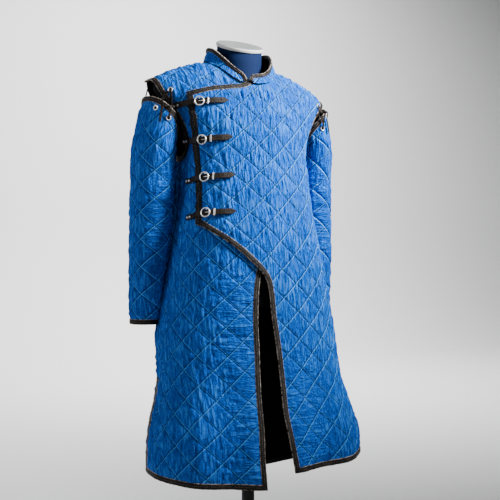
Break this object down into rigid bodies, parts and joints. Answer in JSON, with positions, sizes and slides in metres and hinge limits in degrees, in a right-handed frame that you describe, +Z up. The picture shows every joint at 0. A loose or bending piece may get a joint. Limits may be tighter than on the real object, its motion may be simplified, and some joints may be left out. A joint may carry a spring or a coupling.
{
  "type": "gambeson on a dress form",
  "caption": "Knee-length diamond-quilted gambeson, bound in leather, side-buckled overlap, laced-on sleeves, worn by a limbless dress form on a pole and round base",
  "frame": {"origin": "the middle of the base's underside, on the floor, below the pole's axis", "axes": "+Z is up along the pole; -Y is the coat's front; +X is the wearer's left"},
  "size_m": [0.575, 0.4342, 1.4828],
  "materials": {
    "cloth": "slubby linen, diamond quilted, matte",
    "binding": "dark brown-black leather, folded over the edge and stitched",
    "leather": "black strap leather, soft sheen",
    "metal": "nickel-plated wire",
    "form": "matte cloth cover over a hard shell",
    "cap": "smooth pale grey",
    "steel": "dark satin paint"
  },
  "bodies": {
    "root": {"back_panel": "cloth", "left_front": "cloth", "right_front": "cloth", "collar": "cloth", "sleeve_left": "cloth", "sleeve_right": "cloth", "binding_armhole_left": "binding", "binding_armhole_right": "binding", "binding_back": "binding", "binding_collar": "binding", "binding_cuff_left": "binding", "binding_cuff_right": "binding", "binding_head_left": "binding", "binding_head_right": "binding", "binding_left_front": "binding", "binding_right_front": "binding", "strap_1": "leather", "strap_2": "leather", "strap_3": "leather", "strap_4": "leather", "tab_1": "leather", "tab_2": "leather", "tab_3": "leather", "tab_4": "leather", "lace_front_left": "leather", "lace_front_right": "leather", "lace_outer_left": "leather", "lace_outer_right": "leather", "lace_back_left": "leather", "lace_back_right": "leather", "buckle_1": "metal", "buckle_2": "metal", "buckle_3": "metal", "buckle_4": "metal", "keeper_1": "metal", "keeper_2": "metal", "keeper_3": "metal", "keeper_4": "metal", "eyelet_body_front_left": "metal", "eyelet_body_front_right": "metal", "eyelet_body_back_left": "metal", "eyelet_body_back_right": "metal", "eyelet_sleeve_front_left": "metal", "eyelet_sleeve_front_right": "metal", "eyelet_sleeve_outer_left": "metal", "eyelet_sleeve_outer_right": "metal", "eyelet_sleeve_back_left": "metal", "eyelet_sleeve_back_right": "metal", "form_body": "form", "form_cap": "cap", "form_pole": "steel", "form_base": "steel"}
  },
  "joints": []
}
